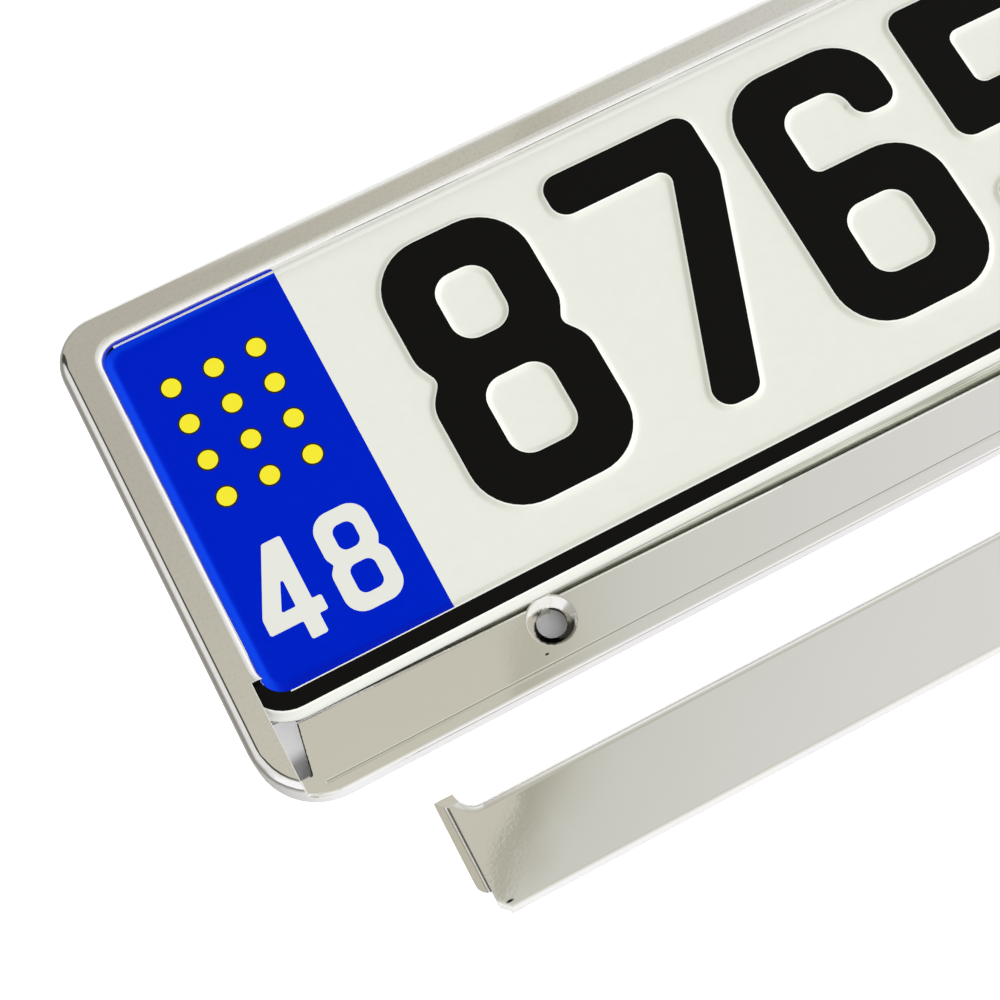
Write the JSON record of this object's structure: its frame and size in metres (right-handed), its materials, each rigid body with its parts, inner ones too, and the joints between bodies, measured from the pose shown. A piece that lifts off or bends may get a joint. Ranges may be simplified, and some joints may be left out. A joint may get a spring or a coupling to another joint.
{
  "type": "number plate holder",
  "caption": "Chrome-plated holder for a long number plate: lipped frame with ribbed back panel and screw bed, the pressed plate in it and its clip-in retaining strip taken off in front.",
  "frame": {"origin": "centre of the frame's back face, which lies against the car", "axes": "+X along the plate to the right of a reader, +Y to its top edge, +Z out of its face"},
  "size_m": [0.5483, 0.1772, 0.0145],
  "materials": {
    "chrome_plating": "bright chrome plating on moulded plastic",
    "plate_film": "reflective film on pressed aluminium sheet"
  },
  "bodies": {
    "root": {"holder_frame": "chrome_plating", "retaining_strip": "chrome_plating", "number_plate": "plate_film"}
  },
  "joints": []
}
